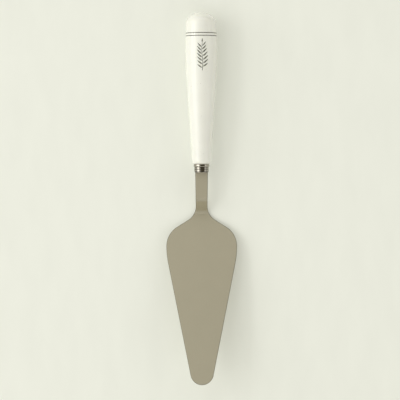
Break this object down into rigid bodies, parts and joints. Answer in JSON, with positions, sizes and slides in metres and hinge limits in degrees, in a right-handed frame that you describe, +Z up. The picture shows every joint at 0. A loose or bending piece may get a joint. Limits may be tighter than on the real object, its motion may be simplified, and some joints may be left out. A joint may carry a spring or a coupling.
{
  "type": "cake server",
  "caption": "Cake server with a tapered porcelain handle, a beaded steel ferrule and a cranked triangular steel blade with a rounded tip.",
  "frame": {"origin": "on the surface that the server lies on, half way between the butt and the tip", "axes": "+Y along the handle towards its butt, -Y towards the blade's tip, +Z up, the object is the same on both sides of X = 0"},
  "size_m": [0.0476, 0.25, 0.0262],
  "materials": {
    "porcelain": "gloss",
    "polished_steel": "polished",
    "satin_steel": "satin",
    "cement": "matte"
  },
  "bodies": {
    "root": {"handle": "porcelain", "ferrule": "polished_steel", "blade": "satin_steel", "cement": "cement"}
  },
  "joints": []
}
